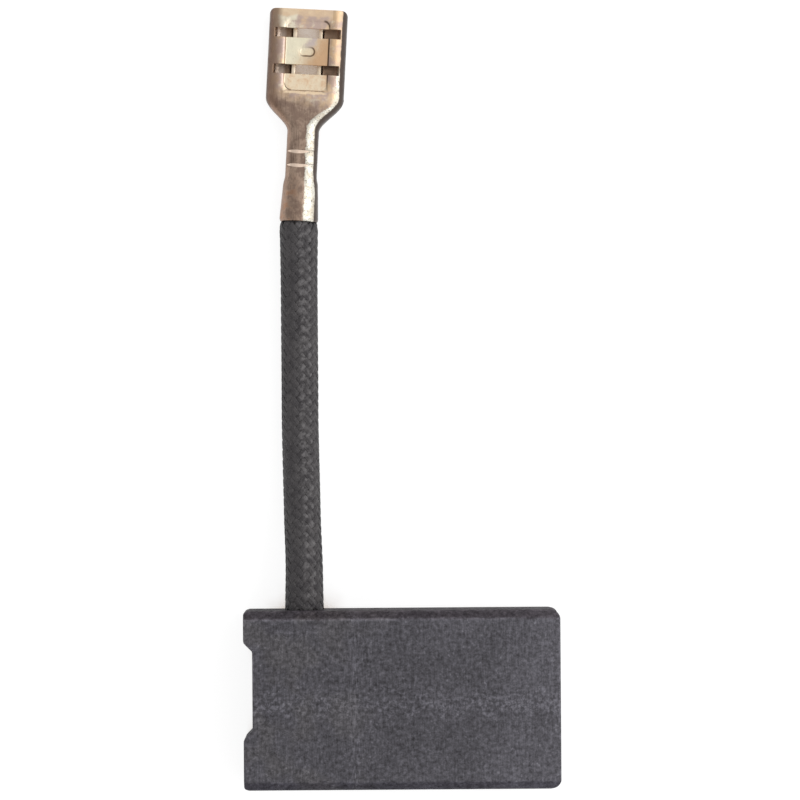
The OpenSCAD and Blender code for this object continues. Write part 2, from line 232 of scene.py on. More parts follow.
def node(tree, kind, inputs=(), **settings):
    """Adds a node, sets its properties, and fills its inputs with values or links."""
    made = tree.nodes.new(kind)
    for key, value in settings.items():
        setattr(made, key, value)
    for key, value in dict(inputs).items():
        socket = made.inputs[key]
        if isinstance(value, bpy.types.NodeSocket):
            tree.links.new(value, socket)
        else:
            socket.default_value = value
    return made


def tree_of(*values):
    """The node tree that the links among these values belong to."""
    return next(value.id_data for value in values if isinstance(value, bpy.types.NodeSocket))


def ramp(source, stops):
    """A colour ramp over the given stops: (place, colour or grey)."""
    made = node(tree_of(source), "ShaderNodeValToRGB", {"Fac": source})
    elements = made.color_ramp.elements
    for n, (place, value) in enumerate(stops):
        element = elements[n] if n < 2 else elements.new(place)
        element.position = place
        element.color = (value, value, value, 1) if isinstance(value, (int, float)) else (*value, 1)
    return made.outputs["Color"]


def linear(r, g, b):
    """A colour given by its 0 to 255 display values."""
    return tuple(((c / 255 + 0.055) / 1.055) ** 2.4 if c > 10 else c / 255 / 12.92 for c in (r, g, b))


def new_material(name):
    """An empty node material and its output."""
    made = bpy.data.materials.new(name)
    made.use_nodes = True
    made.node_tree.nodes.clear()
    output = made.node_tree.nodes.new("ShaderNodeOutputMaterial")
    return made, made.node_tree, output


def maths(operation, *values):
    """A maths node's output for one to three values or links."""
    return node(tree_of(*values), "ShaderNodeMath", dict(enumerate(values)), operation=operation).outputs[0]


def times(*values):
    """The product of values or links."""
    return reduce(lambda a, b: maths("MULTIPLY", a, b), values)


def plus(*values):
    """The sum of values or links."""
    return reduce(lambda a, b: maths("ADD", a, b), values)


def minus(a, b):
    """One value or link less another."""
    return maths("SUBTRACT", a, b)


def scaled(value, factor, offset):
    """A value times a factor, plus an offset."""
    return maths("MULTIPLY_ADD", value, factor, offset)


def apart(a, b):
    """How far two values lie from each other."""
    return maths("ABSOLUTE", minus(a, b))


def between(value, a, b, low=0.0, high=1.0):
    """A smooth step from low at a to high at b."""
    limits = {"Value": value, "From Min": a, "From Max": b, "To Min": low, "To Max": high}
    return node(tree_of(value), "ShaderNodeMapRange", limits, interpolation_type="SMOOTHSTEP").outputs[0]


def blend_colour(amount, a, b, kind="MIX"):
    """Mixes two colours, given by display values or links."""
    a, b = [(*linear(*c), 1) if isinstance(c, tuple) else c for c in (a, b)]
    made = node(tree_of(amount, a, b), "ShaderNodeMix", {0: amount, 6: a, 7: b},
                data_type="RGBA", blend_type=kind)
    return made.outputs[2]


def attribute(tree, name, output="Fac"):
    """What the mesh stores under this name."""
    return node(tree, "ShaderNodeAttribute", attribute_name=name).outputs[output]


def split(vector):
    """The three numbers of a vector link."""
    return node(tree_of(vector), "ShaderNodeSeparateXYZ", {0: vector}).outputs[:]


def add_input(tree, name, kind, value=None):
    """Adds a named input to a node tree."""
    made = tree.interface.new_socket(name, in_out="INPUT", socket_type=kind)
    if value is not None:
        made.default_value = value


def cover(output, inputs, height, strength, depth):
    """Puts a Principled surface, with a bump of this height, on a material's output."""
    tree = output.id_data
    bump = node(tree, "ShaderNodeBump", {"Height": height, "Strength": strength, "Distance": depth})
    surface = node(tree, "ShaderNodeBsdfPrincipled", {**inputs, "Normal": bump.outputs["Normal"]})
    tree.links.new(surface.outputs[0], output.inputs["Surface"])


# The mottling under every finish of the brush. Its scale is in features to the metre on each axis
mottling = bpy.data.node_groups.new("mottling", "ShaderNodeTree")
mottling.interface.new_socket("Value", in_out="OUTPUT", socket_type="NodeSocketFloat")
add_input(mottling, "Place", "NodeSocketVector")
add_input(mottling, "Scale", "NodeSocketVector", (1000, 1000, 1000))
add_input(mottling, "Detail", "NodeSocketFloat", 3.0)
add_input(mottling, "Roughness", "NodeSocketFloat", 0.6)
wanted = mottling.nodes.new("NodeGroupInput").outputs
stretched = node(mottling, "ShaderNodeMapping", {"Vector": wanted["Place"], "Scale": wanted["Scale"]})
speckle = node(mottling, "ShaderNodeTexNoise", {"Vector": stretched.outputs[0], "Scale": 1,
                                                "Detail": wanted["Detail"], "Roughness": wanted["Roughness"]})
node(mottling, "NodeGroupOutput", {0: speckle.outputs["Fac"]})


def noise(place, size, detail=3.0, stretch=(1, 1, 1), roughness=0.6):
    """Mottling with features of about the given size in mm, stretched by the given factors."""
    scale = tuple(1000 / size / factor for factor in stretch)
    inputs = {"Place": place, "Scale": scale, "Detail": detail, "Roughness": roughness}
    return node(tree_of(place), "ShaderNodeGroup", inputs, node_tree=mottling).outputs["Value"]


graphite, tree, output = new_material("pressed_graphite")
place = node(tree, "ShaderNodeTexCoord").outputs["Object"]
block_x, block_y = split(place)[:2]
grain = noise(place, 0.42, 4, roughness=0.72)
scores = noise(place, 0.17, 3, (1, 9, 1), 0.65)
clots = noise(place, 1.1, 4, roughness=0.68)
clouds = noise(place, 6.0, 2)
value = between(block_x, 0.004, 0.016, 0.27, 0.37)
for texture, weight in ((grain, 1.15), (scores, 0.45), (clots, 0.24), (clouds, 0.26)):
    value = plus(value, scaled(texture, weight, -weight / 2))
# A brighter band that the press leaves along the block, and one that the holder has rubbed across it
band_y, rub_x = -0.0003, -0.0048
off_band = apart(plus(block_y, scaled(clots, 0.006, -0.003)), band_y)
band = times(between(off_band, 0.0013, 0.0003), between(grain, 0.46, 0.60))
rub = times(between(apart(block_x, rub_x), 0.0009, 0.0001), between(scores, 0.46, 0.60))
value = scaled(maths("MAXIMUM", band, rub), 0.12, value)
specks = times(between(noise(place, 0.30, 1), 0.62, 0.72), between(clots, 0.42, 0.62))
value = scaled(specks, 0.22, value)
# The walls and the chamfers are darker than the ground faces, and painted shade darkens the
# long walls further
ground = attribute(tree, "ground_face")
painted_wall_shade = between(maths("ABSOLUTE", block_y), 0.00888, 0.00898)
value = times(value, minus(scaled(ground, 0.24, 0.76), times(painted_wall_shade, 0.2)))
rub_marks = between(noise(place, 0.7, 4, (2.5, 1, 1), 0.7), 0.40, 0.56, 0.1, 1.0)
value = scaled(times(attribute(tree, "rubbed_edge"), rub_marks), 0.26, value)
tone = ramp(value, [(0.0, linear(36, 34, 38)), (0.30, linear(77, 75, 81)), (0.55, linear(107, 105, 113)),
                    (1.0, linear(152, 151, 158))])
warm = times(between(clouds, 0.46, 0.60), between(block_x, 0.004, -0.010), 0.5)
tone = blend_colour(warm, tone, (246, 243, 228), "MULTIPLY")
pressed_tint = blend_colour(between(block_y, -0.001, 0.001), (250, 250, 255), (255, 247, 245))
tone = blend_colour(ground, blend_colour(1.0, tone, pressed_tint, "MULTIPLY"), tone)
cover(output, {"Base Color": tone, "Roughness": between(clots, 0.35, 0.65, 0.66, 0.5),
               "Specular IOR Level": scaled(ground, 0.3, 0.05)},
      height=plus(grain, times(scores, 0.5)), strength=0.6, depth=0.00006)


def plain_mesh(thing):
    """The mesh of an object with its modifiers applied."""
    bpy.context.view_layer.update()
    return bpy.data.meshes.new_from_object(thing.evaluated_get(bpy.context.evaluated_depsgraph_get()))


points, quads = block_lattice()
carbon = mesh_object("graphite_block", wear_block(points), quads, graphite)
# The drill that makes the shunt's hole, with its pointed end
sides, drill_point = 48, math.radians(59)
turns = np.linspace(0, 2 * math.pi, sides, endpoint=False)
rim = [(shunt_x + math.cos(a) * hole_r, shunt_z + math.sin(a) * hole_r) for a in turns]
drill_points = [(x, y, z) for y in (face_y + 1, face_y - hole_l) for x, z in rim]
drill_points.append((shunt_x, face_y - hole_l - hole_r / math.tan(drill_point), shunt_z))
drill_faces = [list(range(sides))]
drill_faces += [[k, sides + k, sides + (k + 1) % sides, (k + 1) % sides] for k in range(sides)]
drill_faces += [[sides + k, 2 * sides, sides + (k + 1) % sides] for k in range(sides)]
drill = mesh_object("drill", drill_points, drill_faces, graphite)
cut = carbon.modifiers.new("shunt_hole", "BOOLEAN")
cut.operation, cut.solver, cut.object = "DIFFERENCE", "EXACT", drill
carbon_mesh = plain_mesh(carbon)
carbon.modifiers.clear()
carbon.data = carbon_mesh
bpy.data.objects.remove(drill)
places = np.array([v.co for v in carbon_mesh.vertices]) * 1000
off_face = np.minimum(places[:, 2], block_t - places[:, 2])
rub_glow = np.exp(-(edge_distance(places) / 0.17) ** 2) * np.where(places[:, 1] > 0, 1.0, 0.35)
for name, mask in (("ground_face", np.clip(1.2 - off_face / 0.1, 0, 1)), ("rubbed_edge", rub_glow)):
    carbon_mesh.attributes.new(name, "FLOAT", "POINT").data.foreach_set("value", mask)
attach(carbon, "root")
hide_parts("carbon_block")


# ---- Copper rope ----
# Seven strands of fine copper wire, laid up into a rope that runs from the bottom of the block's
# hole, through the sleeve and both crimps, to its cut end. Copper powder tamped round it fills
# the hole, and that node keeps its shape.
rope_r, strand_r, rope_lay = 1.2, 0.42, 13.0
outer_strands, strand_sides = 6, 10
wires_round, wire_twist = 9, 1.1
rope_from, rope_end, free_end = 9.4, 9.0, 0.4
# How the crimps press it, at places along the terminal in mm from its sleeve end: half width, half
# height, and the drop of its middle under the axis
pressed = [(-0.4, 1.2, 1.2, 0.0), (0.0, 1.0, 1.0, 0.0), (3.4, 1.0, 1.0, 0.0), (4.8, 1.05, 0.55, -0.5),
           (8.2, 1.05, 0.55, -0.5), (9.0, 1.0, 0.55, -0.5)]
rope_path = [Vector((shunt_x, face_y - d, shunt_z)) for d in (rope_from, 6, 3)] + route
rope_path = smooth_route(rope_path, 4)
rope_path += [term_pos + d * term_dir for d in np.linspace(-free_end, rope_end, 32).tolist()]


def rope_mesh_parts():
    """Points, faces, and each point's place round its strand and along the rope."""
    far = np.concatenate([[0], np.cumsum([(b - a).length for a, b in zip(rope_path, rope_path[1:])])])
    rings, stations = len(rope_path), [row[0] for row in pressed]
    points, faces, places = [], [], []
    for strand in range(outer_strands + 1):
        first = len(points)
        for n, centre in enumerate(rope_path):
            ahead = (rope_path[min(n + 1, rings - 1)] - rope_path[max(n - 1, 0)]).normalized()
            side = ahead.cross(Vector((0, 0, 1))).normalized()
            up = side.cross(ahead)
            y = (centre - term_pos).dot(term_dir)
            wide, high, drop = [np.interp(y, stations, [row[k] for row in pressed]) for k in (1, 2, 3)]
            turn = 2 * math.pi * (far[n] / rope_lay + strand / outer_strands)
            out = 0 if strand == outer_strands else (rope_r - strand_r) / rope_r
            for k in range(strand_sides):
                a = 2 * math.pi * k / strand_sides
                across = out * math.cos(turn) + strand_r / rope_r * math.cos(a)
                above = out * math.sin(turn) + strand_r / rope_r * math.sin(a)
                points.append(centre + side * across * wide + up * (above * high - drop))
                places.append((k / strand_sides, far[n], strand))
        for n in range(rings - 1):
            near_ring, next_ring = first + n * strand_sides, first + (n + 1) * strand_sides
            for k in range(strand_sides):
                after = (k + 1) % strand_sides
                faces.append((near_ring + k, near_ring + after, next_ring + after, next_ring + k))
        last = first + (rings - 1) * strand_sides
        faces += [tuple(first + k for k in reversed(range(strand_sides))),
                  tuple(last + k for k in range(strand_sides))]
    return points, faces, places


def copper_look(name, wires):
    """Copper that has dulled: drawn wires, or pressed powder."""
    made, tree, output = new_material(name)
    place = node(tree, "ShaderNodeTexCoord").outputs["Object"]
    dull = noise(place, 0.8)
    if wires:
        round_strand, along_rope = split(attribute(tree, "wire_place", "Vector"))[:2]
        turn = scaled(along_rope, wire_twist, times(round_strand, 2 * math.pi * wires_round))
        height = maths("ABSOLUTE", maths("SINE", times(turn, 0.5)))
    else:
        height = noise(place, 0.12, 2)
    tone = blend_colour(between(dull, 0.35, 0.65), (198, 122, 86), (150, 88, 62))
    tone = blend_colour(between(height, 0.0, 0.35, 0.6, 0.0), tone, (84, 48, 36))
    cover(output, {"Base Color": tone, "Metallic": 1.0, "Roughness": between(dull, 0.35, 0.65, 0.34, 0.5)},
          height=height, strength=0.7, depth=0.00004)
    return made


points, faces, wire_places = rope_mesh_parts()
rope = mesh_object("stranded_rope", points, faces, copper_look("bare_copper", wires=True))
wire_place = rope.data.attributes.new("wire_place", "FLOAT_VECTOR", "POINT")
wire_place.data.foreach_set("vector", np.array(wire_places).ravel())
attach(rope, "root")
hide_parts("shunt_cable")
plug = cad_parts["tamping_plug"]
plug.material_slots[0].material = copper_look("tamped_copper", wires=False)


# ---- Braided sleeve ----
# Black yarn braided round the rope in the two-over-two herringbone of a 32-carrier machine,
# cut off where the rope enters the block and clamped in the terminal's sleeve crimp.
sleeve_d, yarn_w, yarn_t = 3.75, 0.72, 0.15
sleeve_swell, swell_l = 0.1, 8.0
carriers, float_pitch, steps_along = 32, 0.97, 340
inner_r = 1.55
grip_inner_r, grip_slack, grip_taper = grip_r - 0.5, 0.05, 0.035
held_from, held_over = 0.6, 0.75


def vector_maths(operation, *values):
    """A vector maths node's vector output. A scale's factor is its last value."""
    inputs = dict(enumerate(values))
    if operation == "SCALE":
        inputs = {0: values[0], "Scale": values[1]}
    return node(tree_of(*values), "ShaderNodeVectorMath", inputs, operation=operation).outputs[0]


braid = bpy.data.node_groups.new("herringbone_braid", "GeometryNodeTree")
braid.interface.new_socket("Geometry", in_out="OUTPUT", socket_type="NodeSocketGeometry")
add_input(braid, "Geometry", "NodeSocketGeometry")
add_input(braid, "Carriers", "NodeSocketInt", carriers)
add_input(braid, "Steps", "NodeSocketInt", steps_along)
for name, size in (("Float pitch", float_pitch), ("Outer radius", sleeve_d / 2), ("Inner radius", inner_r),
                   ("Yarn width", yarn_w), ("Yarn thickness", yarn_t)):
    add_input(braid, name, "NodeSocketFloat", size / 1000)
add_input(braid, "Yarn", "NodeSocketMaterial")
given = braid.nodes.new("NodeGroupInput").outputs

# Each carrier's yarn starts as a copy of one straight line, and winds round the path by its own hand
path = node(braid, "GeometryNodeMeshToCurve", {"Mesh": given["Geometry"]}).outputs[0]
path = node(braid, "GeometryNodeSetCurveNormal", {"Curve": path}, mode="Z_UP").outputs[0]
path_length = node(braid, "GeometryNodeCurveLength", {"Curve": path}).outputs[0]
single = node(braid, "GeometryNodeCurvePrimitiveLine", {"End": (0, 0, 1)}).outputs[0]
single = node(braid, "GeometryNodeResampleCurve", {"Curve": single, "Count": given["Steps"]}).outputs[0]
copies = node(braid, "GeometryNodeDuplicateElements", {"Geometry": single, "Amount": given["Carriers"]},
              domain="SPLINE")
share = node(braid, "GeometryNodeSplineParameter").outputs["Factor"]
number = copies.outputs["Duplicate Index"]
hand = scaled(maths("MODULO", number, 2.0), 2.0, -1.0)
pair = maths("FLOOR", maths("DIVIDE", number, 2.0))
per_hand = maths("DIVIDE", given["Carriers"], 2.0)
lay = times(given["Float pitch"], per_hand)
turns = maths("DIVIDE", times(share, path_length), lay)
angle = times(plus(times(turns, hand), maths("DIVIDE", pair, per_hand)), 2 * math.pi)

# A yarn floats over two of the other hand and dives under the next two
crossing = times(angle, maths("DIVIDE", given["Carriers"], 4.0))
weave = times(maths("COSINE", minus(crossing, math.pi / 4)), hand)
weave = maths("MAXIMUM", maths("MINIMUM", times(weave, 1.5), 1.0), -1.0)
half_t = times(given["Yarn thickness"], 0.5)
middle_r = minus(given["Outer radius"], given["Yarn thickness"])
radius = scaled(weave, times(half_t, 0.92), middle_r)
tube_r = node(braid, "GeometryNodeInputNamedAttribute", {"Name": "tube_scale"}, data_type="FLOAT").outputs[0]
sample = node(braid, "GeometryNodeSampleCurve", {"Curves": path, "Factor": share, "Value": tube_r},
              mode="FACTOR", use_all_curves=True, data_type="FLOAT").outputs
radius = times(radius, sample["Value"])
side = vector_maths("CROSS_PRODUCT", sample["Tangent"], sample["Normal"])
outward = vector_maths("ADD", vector_maths("SCALE", sample["Normal"], maths("COSINE", angle)),
                       vector_maths("SCALE", side, maths("SINE", angle)))
spot = vector_maths("ADD", sample["Position"], vector_maths("SCALE", outward, radius))
laid = node(braid, "GeometryNodeSetPosition",
            {"Geometry": copies.outputs["Geometry"], "Position": spot}).outputs[0]
laid = node(braid, "GeometryNodeStoreNamedAttribute", {"Geometry": laid, "Name": "outward", "Value": outward},
            data_type="FLOAT_VECTOR", domain="POINT").outputs[0]
kept = node(braid, "GeometryNodeInputNamedAttribute", {"Name": "outward"}, data_type="FLOAT_VECTOR")
laid = node(braid, "GeometryNodeSetCurveNormal", {"Curve": laid, "Normal": kept.outputs[0]},
            mode="FREE").outputs[0]

# The yarn's flat section, and the tube under the yarns that closes the gaps between them
section = node(braid, "GeometryNodeCurvePrimitiveCircle", {"Resolution": 8, "Radius": 0.5}).outputs["Curve"]
round_yarn = node(braid, "GeometryNodeSplineParameter").outputs["Factor"]
section = node(braid, "GeometryNodeStoreNamedAttribute",
               {"Geometry": section, "Name": "yarn_across", "Value": round_yarn},
               data_type="FLOAT", domain="POINT").outputs[0]
flat = node(braid, "ShaderNodeCombineXYZ", {0: given["Yarn thickness"], 1: given["Yarn width"], 2: 1.0})
section = node(braid, "GeometryNodeTransform", {"Geometry": section, "Scale": flat.outputs[0]}).outputs[0]
yarns = node(braid, "GeometryNodeCurveToMesh",
             {"Curve": laid, "Profile Curve": section, "Fill Caps": True}).outputs[0]
core_section = node(braid, "GeometryNodeCurvePrimitiveCircle",
                    {"Resolution": 24, "Radius": given["Inner radius"]}).outputs["Curve"]
core = node(braid, "GeometryNodeCurveToMesh",
            {"Curve": path, "Profile Curve": core_section, "Scale": tube_r, "Fill Caps": True}).outputs[0]
joined = braid.nodes.new("GeometryNodeJoinGeometry")
braid.links.new(yarns, joined.inputs[0])
braid.links.new(core, joined.inputs[0])
real = node(braid, "GeometryNodeRealizeInstances", {0: joined.outputs[0]}).outputs[0]
done = node(braid, "GeometryNodeSetShadeSmooth", {"Geometry": real, "Shade Smooth": True}).outputs[0]
done = node(braid, "GeometryNodeSetMaterial", {"Geometry": done, "Material": given["Yarn"]}).outputs[0]
node(braid, "NodeGroupOutput", {0: done})


def made_by(tree, name, source, **values):
    """The plain mesh object that a tree makes of a source mesh, with its inputs by name."""
    thing = bpy.data.objects.new(name, source)
    bpy.context.scene.collection.objects.link(thing)
    modifier = thing.modifiers.new(tree.name, "NODES")
    modifier.node_group = tree
    identifiers = {item.name: item.identifier for item in tree.interface.items_tree if item.in_out == "INPUT"}
    for key, value in values.items():
        modifier[identifiers[key]] = value
    result = plain_mesh(thing)
    thing.modifiers.clear()
    thing.data = result
    return thing


yarn, tree, output = new_material("black_yarn")
place = node(tree, "ShaderNodeTexCoord").outputs["Object"]
tone = blend_colour(between(noise(place, 1.1), 0.36, 0.64), (60, 57, 59), (75, 72, 73))
tone = blend_colour(between(noise(place, 0.16, 2), 0.54, 0.70, 0.0, 0.4), tone, (112, 109, 109))
# Two rows of painted sheen on the sleeve's upper side, and painted shade down its flanks
outward_x, outward_z = split(attribute(tree, "outward", "Vector"))[::2]
painted_sheen = times(between(noise(place, 0.55, 2), 0.44, 0.58), between(outward_z, 0.3, 0.6, 0.0, 0.6))
for row_x, row_half in ((0.20, 0.16), (0.52, 0.14)):
    row = between(apart(outward_x, row_x), row_half, 0.3 * row_half)
    tone = blend_colour(times(row, painted_sheen), tone, (112, 109, 110))
# Painted shade on the flanks
tone = blend_colour(between(outward_z, 0.55, 0.05), tone, (36, 34, 35))
threads = maths("SINE", times(attribute(tree, "yarn_across"), 60.0))
cover(output, {"Base Color": tone, "Roughness": 0.55, "Specular IOR Level": 0.35},
      height=threads, strength=0.5, depth=0.00002)

sleeve_path = bpy.data.meshes.new("sleeve_path")
path_edges = [(k, k + 1) for k in range(len(sleeve_route) - 1)]
sleeve_path.from_pydata([p / 1000 for p in sleeve_route], path_edges, [])
squeeze = sleeve_path.attributes.new("tube_scale", "FLOAT", "POINT")
for k, p in enumerate(sleeve_route):
    past_end = (p - term_pos).dot(term_dir)
    looser = max(0, 1 - (p.y - face_y) / swell_l) ** 2
    if past_end < 0:
        looser += max(0, 1 - (term_pos.y - p.y) / swell_l) ** 2
    free_r = sleeve_d / 2 + sleeve_swell * looser
    held = min(1.0, max(0.0, (past_end + held_from) / held_over))
    held_r = grip_inner_r - grip_slack - grip_taper * max(0.0, past_end)
    squeeze.data[k].value = (free_r + (held_r - free_r) * held) / (sleeve_d / 2)
sleeve = made_by(braid, "braided_yarn", sleeve_path, Yarn=yarn)
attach(sleeve, "root")
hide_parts("braided_sleeve")


# ---- Terminal ----
# One strip of tin-plated brass, stamped and folded in a progressive die: a receptacle with two
# rolled flags, the shoulders, and a crimp each for the rope and the sleeve. The plating has
# tarnished to warm greys. Painted highlights and painted shade for a lamp on its right are in
# its colour too; the bright band along the flank is partly rubbed tin, partly painted highlight.
sheet = 0.4
body_l, body_w = 9.0, 7.9
flag_gap, tab_gap = 2.2, 0.7
panel_w, panel_d, panel_corner_r = 4.6, 0.2, 0.7
panel_wall, dimple_wall, dimple_share = 0.26, 0.4, 0.3
slot_w, slot_l = 6.7, 0.95
dimple_l, dimple_w = 1.5, 0.85
wire_r, wire_h = 1.6, 2.3
grip_neck_r, seam = 1.78, 0.2
grip_l, wire_from, wire_to = 3.4, 4.6, 8.2
leg_d = wire_h - wire_r / 2
body_from = term_l - body_l
shoulder_l, neck_side_d, body_side_d = 3.3, 1.85, 1.55
panel_from, panel_to = term_l - 8.4, term_l - 1.1
slots_from = (term_l - 2.9, term_l - 6.6)
dimple_y = term_l - 4.3
serrations_y = (term_l - 14.3, term_l - 15.7)
groove_d, groove_half = 0.10, 0.16
tip_bend_r = 0.3
mouth_corner_r, rim_curl, stamped_edge = 0.5, 0.1, 0.06


def run(*pieces):
    """A line of many short steps, from straight and round pieces: ("to", x, z) or
    ("arc", x, z, radius, from degrees, to degrees)."""
    line = []
    for piece in pieces:
        if piece[0] == "to":
            end = np.array(piece[1:])
            if line:
                start = line[-1]
                steps = max(2, int(np.linalg.norm(end - start) / 0.02))
                line += [start + (end - start) * k / steps for k in range(1, steps + 1)]
            else:
                line.append(end)
        else:
            x, z, radius, a0, a1 = piece[1:]
            for a in np.radians(np.linspace(a0, a1, max(6, int(abs(a1 - a0) / 3)))):
                line.append(np.array([x + radius * math.cos(a), z + radius * math.sin(a)]))
    return np.array(line)


def measured(line):
    """The line with the distance along it."""
    far = np.concatenate([[0], np.cumsum(np.linalg.norm(np.diff(line, axis=0), axis=1))])
    return far, line


half_sheet = sheet / 2
roll_r = roll_d / 2
roll_x = body_w / 2 - roll_r


def channel_line(half_w, depth):
    """Right half of the open channel, along the middle of the sheet."""
    return run(("to", 0, -half_sheet), ("to", half_w - roll_r, -half_sheet),
               ("arc", half_w - roll_r, -roll_r, roll_r - half_sheet, 90, 0),
               ("to", half_w - half_sheet, -depth))


def body_line():
    """Right half of the receptacle: back, rolled side, flag and its upturned tip."""
    bend_x = flag_gap / 2 + sheet + tip_bend_r
    bend_z = -roll_d + sheet + tip_bend_r
    return run(("to", 0, -half_sheet), ("to", roll_x, -half_sheet),
               ("arc", roll_x, -roll_r, roll_r - half_sheet, 90, -90),
               ("to", bend_x, half_sheet - roll_d),
               ("arc", bend_x, bend_z, tip_bend_r + half_sheet, -90, -180),
               ("to", bend_x - tip_bend_r - half_sheet, -sheet - panel_d - tab_gap))


def wire_line():
    """Right half of the wire crimp: back, side, and the leg curled in to the seam."""
    lobe = wire_r / 2
    return run(("to", 0, -half_sheet), ("to", wire_r - roll_r, -half_sheet),
               ("arc", wire_r - roll_r, -roll_r, roll_r - half_sheet, 90, 0),
               ("to", wire_r - half_sheet, lobe - wire_h),
               ("arc", lobe, lobe - wire_h, lobe - half_sheet, 0, -180), ("to", half_sheet + 0.02, -1.25))


def round_line(outer, half_angle):
    """Right half of a ring round the shunt's axis, as far as the given angle from the top."""
    return run(("arc", 0, -axis_drop, outer - half_sheet, 90, 90 - half_angle))


def ease(s):
    """A share from 0 to 1 that starts and ends gently."""
    return s * s * (3 - 2 * s)


def step_in(distance, width):
    """0 outside and 1 inside an edge, with a soft wall of the given width."""
    return ease(np.clip(distance / width + 0.5, 0, 1))


def even(a, b, step):
    """Places from a to b, about a step apart."""
    return np.linspace(a, b, max(2, int(round(abs(b - a) / step)) + 1))


def resampled(line, count=240):
    """The line by equal steps."""
    far, shape = measured(line)
    at = np.linspace(0, far[-1], count)
    return np.stack([np.interp(at, far, shape[:, 0]), np.interp(at, far, shape[:, 1])], 1)


def sheet_patch(rows, columns):
    """Points of a patch of the strip. A row is (place, half section), and columns(row) gives how
    far from the middle of the back each column lies."""
    grid = []
    for y, line in rows:
        far, shape = measured(line)
        at = columns(y, far[-1])
        x, z = np.interp(at, far, shape[:, 0]), np.interp(at, far, shape[:, 1])
        right = np.stack([x, np.full_like(at, y), z], 1)
        left = right[:0:-1] * [-1, 1, 1]
        grid.append(np.concatenate([left, right]))
    return np.array(grid)


slot_columns, throat_angle = 28, 103.1
slot_u = roll_x + (roll_r - half_sheet) * math.asin((slot_w / 2 - roll_x) / roll_r)
shoulder_u = measured(channel_line(body_w / 2, body_side_d))[0][-1]
slot_part, side_part = np.linspace(0, slot_u, slot_columns + 1), np.linspace(slot_u, shoulder_u, 13)[1:]
narrow = np.concatenate([slot_part, side_part]) / shoulder_u
leg_u = measured(channel_line(wire_r, leg_d))[0][-1]


def outer_grip(y):
    """The sleeve crimp's outer radius, with its rim curled in."""
    return grip_r + (grip_neck_r - grip_r) * y / grip_l - rim_curl * max(0, 1 - y / 0.25) ** 2


def widened(part_u, full, count):
    """Columns at the narrow parts' spacing as far as part_u, and then on to the strip's edge."""
    return np.concatenate([narrow * part_u, np.linspace(part_u, full, count)[1:]])


cuts = [body_from, slots_from[1], slots_from[1] + slot_l, slots_from[0], slots_from[0] + slot_l, term_l]
body_rows = np.unique(np.concatenate([even(a, b, 0.12) for a, b in zip(cuts, cuts[1:])]).round(5))
body_half = body_line()
body_patch = sheet_patch([(y, body_half) for y in body_rows], lambda y, full: widened(shoulder_u, full, 28))
shoulder_rows = []
for y in even(body_from - shoulder_l, body_from, 0.11):
    s = (y - body_from + shoulder_l) / shoulder_l
    side_d = neck_side_d + (body_side_d - neck_side_d) * s
    shoulder_rows.append((y, channel_line(wire_r + (body_w / 2 - wire_r) * ease(s), side_d)))
for y in even(wire_to, body_from - shoulder_l, 0.1)[-2::-1]:
    side_d = leg_d + (neck_side_d - leg_d) * ease(min(1, (y - wire_to) / 0.5))
    shoulder_rows.insert(0, (y, channel_line(wire_r, side_d)))
shoulder_patch = sheet_patch(shoulder_rows, lambda y, full: narrow * full)
wire_half = wire_line()
wire_patch = sheet_patch([(y, wire_half) for y in even(wire_from, wire_to, 0.09)],
                         lambda y, full: widened(leg_u, full, 26))
throat_rows = []
ring_half = resampled(round_line(grip_neck_r, throat_angle))
leg_half = resampled(channel_line(wire_r, leg_d))
for y in even(grip_l, wire_from, 0.1):
    s = ease((y - grip_l) / (wire_from - grip_l))
    throat_rows.append((y, ring_half + (leg_half - ring_half) * s))
throat_patch = sheet_patch(throat_rows, lambda y, full: narrow * full)
grip_rows = np.concatenate([[0, 0.04, 0.09, 0.16], even(0.25, grip_l, 0.11)])
grip_patch = sheet_patch(
    [(y, round_line(outer_grip(y), math.degrees(math.pi - seam / 2 / outer_grip(y)))) for y in grip_rows],
    lambda y, full: widened((outer_grip(y) - half_sheet) * math.radians(throat_angle), full, 18))

# The panel and the dimple pressed into the back, and the two grooves across the wire crimp
x, y = body_patch[:, :, 0], body_patch[:, :, 1]
on_back = body_patch[:, :, 2] > -0.9
past = np.stack([np.abs(x) - panel_w / 2 + panel_corner_r,
                 np.abs(y - (panel_from + panel_to) / 2) - (panel_to - panel_from) / 2 + panel_corner_r])
inside = panel_corner_r - np.linalg.norm(np.maximum(past, 0), axis=0) - np.minimum(0, past.max(0))
dimple = dimple_w / 2 - np.hypot(np.maximum(0, np.abs(x) - (dimple_l - dimple_w) / 2), y - dimple_y)
pressed_in = step_in(inside, panel_wall) + dimple_share * step_in(dimple, dimple_wall)
body_patch[:, :, 2] -= on_back * panel_d * pressed_in
# The strip's two corners at the mouth are rounded
outer_x = np.abs(x) + np.maximum(0, np.abs(x) - roll_x) * half_sheet / (roll_r - half_sheet)
turn_in = np.clip(outer_x - (body_w / 2 - mouth_corner_r), 0, mouth_corner_r - 0.01)
cut_back = mouth_corner_r - np.sqrt(mouth_corner_r ** 2 - turn_in ** 2)
last = slots_from[0] + slot_l
body_patch[:, :, 1] -= np.clip((y - last) / (term_l - last), 0, 1) * cut_back
for groove_y in serrations_y:
    rise = np.clip((wire_patch[:, :, 2] + 1.0) / 0.8, 0, 1)
    across_groove = (wire_patch[:, :, 1] - groove_y) / groove_half
    wire_patch[:, :, 2] -= groove_d * rise * np.exp(-across_groove ** 2)

